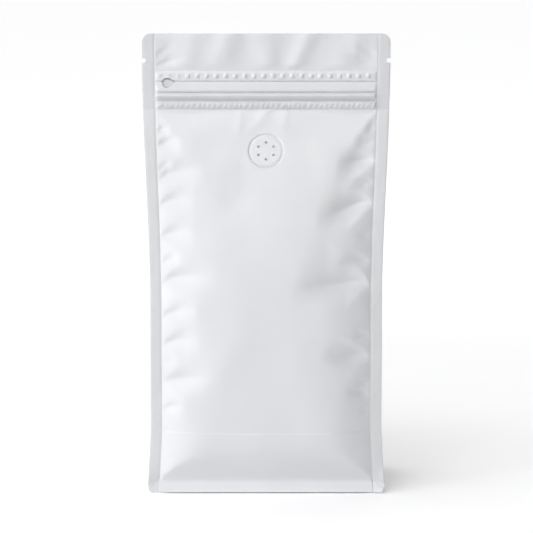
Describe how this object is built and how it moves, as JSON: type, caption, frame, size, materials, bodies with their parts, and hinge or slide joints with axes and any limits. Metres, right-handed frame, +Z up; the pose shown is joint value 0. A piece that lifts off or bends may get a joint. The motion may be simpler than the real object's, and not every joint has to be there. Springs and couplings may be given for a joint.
{
  "type": "flat-bottomed coffee bag",
  "caption": "Filled flat-bottomed coffee pouch of white film with side gussets, welded edges, a press-to-close strip with tear notches, and a round one-way valve.",
  "frame": {"origin": "on the surface the bag stands on, under the middle of its bounding box", "axes": "+Z up, -Y towards the front panel with the valve and the zip, +X to the right as seen from the front"},
  "size_m": [0.14, 0.0884, 0.256],
  "materials": {
    "film": "matt white laminated film, softly wrinkled, knurled where it is welded",
    "valve": "white film over a moulded valve disc, satin, with pin holes",
    "tape": "pale satin plastic tape behind the tear tab"
  },
  "bodies": {
    "root": {"pouch": "film", "valve": "valve", "zipper_tape": "tape"}
  },
  "joints": []
}
